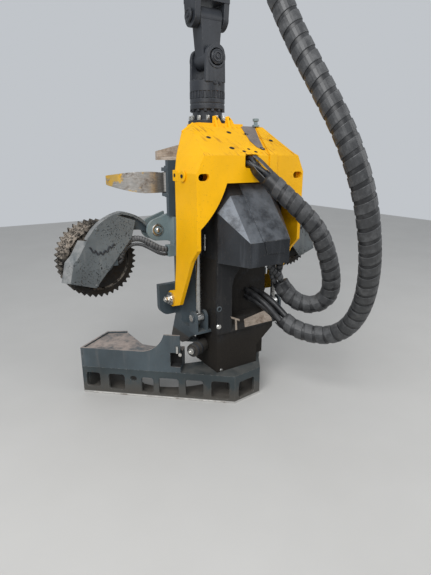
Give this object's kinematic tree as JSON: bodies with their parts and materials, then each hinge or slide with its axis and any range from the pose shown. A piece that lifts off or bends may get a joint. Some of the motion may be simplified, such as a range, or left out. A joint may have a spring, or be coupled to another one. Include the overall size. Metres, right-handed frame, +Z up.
{
  "type": "timber harvester head",
  "caption": "Harvester head that grips a tree trunk, feeds it through toothed rollers, trims its branches and saws it, on a tilting frame with rotator and swing link.",
  "frame": {"origin": "on the ground under the saw box, below the middle of the main frame's back face", "axes": "+X to the right seen from the back, +Y to the side where the trunk goes, +Z up along the trunk"},
  "size_m": [2.1364, 1.6319, 2.677],
  "materials": {
    "frame_grey": "worn satin paint with dried mud",
    "hood_yellow": "glossy paint, scuffed",
    "cover_black": "semi-gloss black paint",
    "rotator_black": "matt black",
    "hose_black": "matt, dusty",
    "rod_chrome": "polished",
    "knife_steel": "worn bare with patches of paint",
    "saw_steel": "oily",
    "roller_steel": "worn, caked with bark and mud",
    "pin_steel": "bright"
  },
  "bodies": {
    "frame": {"main_frame": "frame_grey", "hose_cover": "cover_black", "top_knife": "knife_steel", "saw_box": "frame_grey", "bar_pocket": "frame_grey", "bundle_tilt": "hose_black", "bundle_crane": "hose_black", "hose_tails": "hose_black", "bundle_couplings": "pin_steel", "tilt_pin_left": "pin_steel", "rod_lugs_left": "frame_grey", "roller_bracket_left": "frame_grey", "upper_knife_post_left": "frame_grey", "lower_knife_post_left": "frame_grey", "motor_hoses_left": "hose_black", "tilt_pin_right": "pin_steel", "rod_lugs_right": "frame_grey", "roller_bracket_right": "frame_grey", "upper_knife_post_right": "frame_grey", "lower_knife_post_right": "frame_grey", "motor_hoses_right": "hose_black"},
    "tilt": {"tilt_frame": "hood_yellow", "rotator_housing": "rotator_black", "hood_hoses": "hose_black"},
    "rotator": {"rotator_head": "rotator_black"},
    "link": {"swing_link": "rotator_black"},
    "fork": {"crane_fork": "rotator_black"},
    "cradle_roller": {"bed_roller": "roller_steel"},
    "saw": {"saw_bar": "saw_steel"},
    "barrel_left": {"tilt_barrel_left": "cover_black"},
    "rod_left": {"tilt_rod_left": "rod_chrome"},
    "arm_left": {"roller_arm_left": "frame_grey", "roller_guard_left": "frame_grey"},
    "roller_left": {"feed_roller_left": "roller_steel"},
    "upper_left": {"upper_knife_left": "knife_steel"},
    "lower_left": {"lower_knife_left": "knife_steel"},
    "barrel_right": {"tilt_barrel_right": "cover_black"},
    "rod_right": {"tilt_rod_right": "rod_chrome"},
    "arm_right": {"roller_arm_right": "frame_grey", "roller_guard_right": "frame_grey"},
    "roller_right": {"feed_roller_right": "roller_steel"},
    "upper_right": {"upper_knife_right": "knife_steel"},
    "lower_right": {"lower_knife_right": "knife_steel"}
  },
  "joints": [
    {"name": "tilt_hinge", "type": "hinge", "parent": "frame", "child": "tilt", "pos_m": [0, 0.33, 0.67], "axis": [1, 0, 0], "range_deg": [0, 85], "deforming": ["bundle_tilt", "bundle_crane", "hood_hoses"]},
    {"name": "rotator_turn", "type": "hinge", "parent": "tilt", "child": "rotator", "pos_m": [0, 0.51, 1.96], "axis": [0, 0, 1], "continuous": true},
    {"name": "link_swing", "type": "hinge", "parent": "rotator", "child": "link", "pos_m": [0, 0.51, 2.2], "axis": [0, 1, 0], "range_deg": [-50, 50]},
    {"name": "fork_swing", "type": "hinge", "parent": "link", "child": "fork", "pos_m": [0, 0.51, 2.44], "axis": [1, 0, 0], "range_deg": [-50, 50]},
    {"name": "cradle_roller_spin", "type": "hinge", "parent": "frame", "child": "cradle_roller", "pos_m": [0, 0.15, 1], "axis": [1, 0, 0], "continuous": true},
    {"name": "saw_swing", "type": "hinge", "parent": "frame", "child": "saw", "pos_m": [-0.06, 0.062, 0.09], "axis": [0, 0, -1], "range_deg": [0, 95]},
    {"name": "barrel_left_pivot", "type": "hinge", "parent": "tilt", "child": "barrel_left", "pos_m": [-0.31, 0.124, 1.483], "axis": [1, 0, 0], "range_deg": [0, 6.1]},
    {"name": "rod_left_slide", "type": "slide", "parent": "barrel_left", "child": "rod_left", "axis": [0, 0.0045, 1], "range_m": [0, 0.298]},
    {"name": "arm_left_hinge", "type": "hinge", "parent": "frame", "child": "arm_left", "pos_m": [-0.441, 0.485, 1.128], "axis": [0, -1, 0], "range_deg": [0, 88], "deforming": ["motor_hoses_left"]},
    {"name": "roller_left_spin", "type": "hinge", "parent": "arm_left", "child": "roller_left", "pos_m": [-0.815, 0.601, 0.95], "axis": [0, -1, 0], "continuous": true},
    {"name": "upper_knife_left_hinge", "type": "hinge", "parent": "frame", "child": "upper_left", "pos_m": [-0.36, 0.425, 1.436], "axis": [0, 0, -1], "range_deg": [0, 105]},
    {"name": "lower_knife_left_hinge", "type": "hinge", "parent": "frame", "child": "lower_left", "pos_m": [-0.275, 0.345, 0.397], "axis": [0, 0, -1], "range_deg": [-18, 35]},
    {"name": "barrel_right_pivot", "type": "hinge", "parent": "tilt", "child": "barrel_right", "pos_m": [0.31, 0.124, 1.483], "axis": [1, 0, 0], "range_deg": [0, 6.1]},
    {"name": "rod_right_slide", "type": "slide", "parent": "barrel_right", "child": "rod_right", "axis": [0, 0.0045, 1], "range_m": [0, 0.298]},
    {"name": "arm_right_hinge", "type": "hinge", "parent": "frame", "child": "arm_right", "pos_m": [0.441, 0.485, 1.128], "axis": [0, 1, 0], "range_deg": [0, 88], "deforming": ["motor_hoses_right"]},
    {"name": "roller_right_spin", "type": "hinge", "parent": "arm_right", "child": "roller_right", "pos_m": [0.815, 0.601, 0.95], "axis": [0, 1, 0], "continuous": true},
    {"name": "upper_knife_right_hinge", "type": "hinge", "parent": "frame", "child": "upper_right", "pos_m": [0.36, 0.425, 1.32], "axis": [0, 0, 1], "range_deg": [0, 105]},
    {"name": "lower_knife_right_hinge", "type": "hinge", "parent": "frame", "child": "lower_right", "pos_m": [0.275, 0.345, 0.321], "axis": [0, 0, 1], "range_deg": [-18, 35]}
  ],
  "couplings": [
    {"joint": "barrel_left_pivot", "follows": "tilt_hinge", "ratio": 0.07},
    {"joint": "rod_left_slide", "follows": "tilt_hinge", "m_per_rad": 0.199},
    {"joint": "barrel_right_pivot", "follows": "tilt_hinge", "ratio": 0.07},
    {"joint": "rod_right_slide", "follows": "tilt_hinge", "m_per_rad": 0.199},
    {"joint": "arm_right_hinge", "follows": "arm_left_hinge", "ratio": 1},
    {"joint": "upper_knife_right_hinge", "follows": "upper_knife_left_hinge", "ratio": 1},
    {"joint": "lower_knife_right_hinge", "follows": "lower_knife_left_hinge", "ratio": 1}
  ]
}
